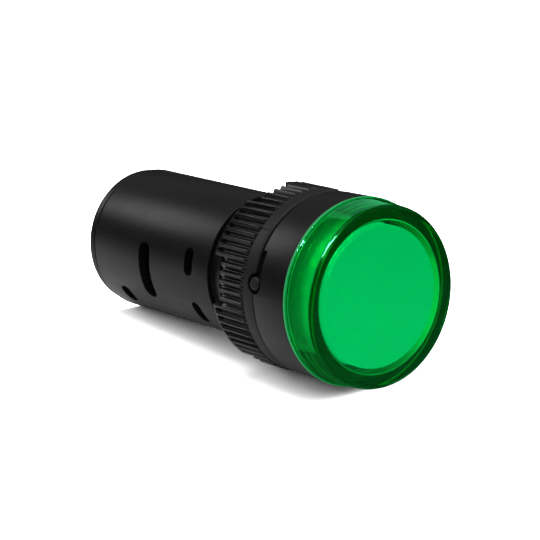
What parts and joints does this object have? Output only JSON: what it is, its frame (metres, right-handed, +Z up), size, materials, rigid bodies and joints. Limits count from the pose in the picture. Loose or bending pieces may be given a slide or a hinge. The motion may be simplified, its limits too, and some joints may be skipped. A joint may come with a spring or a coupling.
{
  "type": "panel pilot light",
  "caption": "Round panel pilot light with a green lens, ribbed mounting nut, rubber gasket and vented barrel with screw terminals at the rear.",
  "frame": {"origin": "on the light's axis, in the plane of the panel's front face, which is the gasket's rear face", "axes": "+Y along the axis towards the terminals, so the lens faces -Y; +Z up"},
  "size_m": [0.027, 0.0576, 0.027],
  "materials": {
    "body_black": "fine satin moulded black",
    "lens_green": "clear green moulded plastic, polished",
    "diffuser_green": "translucent white, green through the lens",
    "board_black": "white solder mask",
    "board_brown": "paper laminate board",
    "capacitor_red": "dipped resin",
    "capacitor_can": "dark heat-shrunk sleeve",
    "chip_black": "moulded epoxy",
    "resistor_blue": "lacquered body",
    "cap_black": "satin moulded black",
    "terminal_brass": "stamped brass",
    "led_resin": "water-clear epoxy",
    "tinned_wire": "tinned pin",
    "plated_steel": "zinc plated",
    "gasket_rubber": "matt black rubber",
    "nut_black": "satin moulded black, ribbed"
  },
  "bodies": {
    "light": {"housing": "body_black", "lens": "lens_green", "diffuser": "diffuser_green", "led_board": "board_black", "led_1": "led_resin", "led_2": "led_resin", "led_3": "led_resin", "led_4": "led_resin", "led_5": "led_resin", "led_6": "led_resin", "board_pin_1": "tinned_wire", "board_pin_2": "tinned_wire", "power_board": "board_brown", "film_capacitor": "capacitor_red", "electrolytic_capacitor": "capacitor_can", "bridge_rectifier": "chip_black", "resistor_1": "resistor_blue", "resistor_2": "resistor_blue", "terminal_cap": "cap_black", "terminal_1": "terminal_brass", "terminal_2": "terminal_brass", "gasket": "gasket_rubber"},
    "nut": {"mounting_nut": "nut_black"},
    "screw_1": {"terminal_screw_1": "plated_steel", "clamp_washer_1": "plated_steel"},
    "screw_2": {"terminal_screw_2": "plated_steel", "clamp_washer_2": "plated_steel"}
  },
  "joints": [
    {"name": "nut_unscrew", "type": "slide", "parent": "light", "child": "nut", "axis": [0, 1, 0], "range_m": [0, 0.044]},
    {"name": "terminal_screw_1_unscrew", "type": "slide", "parent": "light", "child": "screw_1", "axis": [0, 1, 0], "range_m": [0, 0.003]},
    {"name": "terminal_screw_2_unscrew", "type": "slide", "parent": "light", "child": "screw_2", "axis": [0, 1, 0], "range_m": [0, 0.003]}
  ]
}
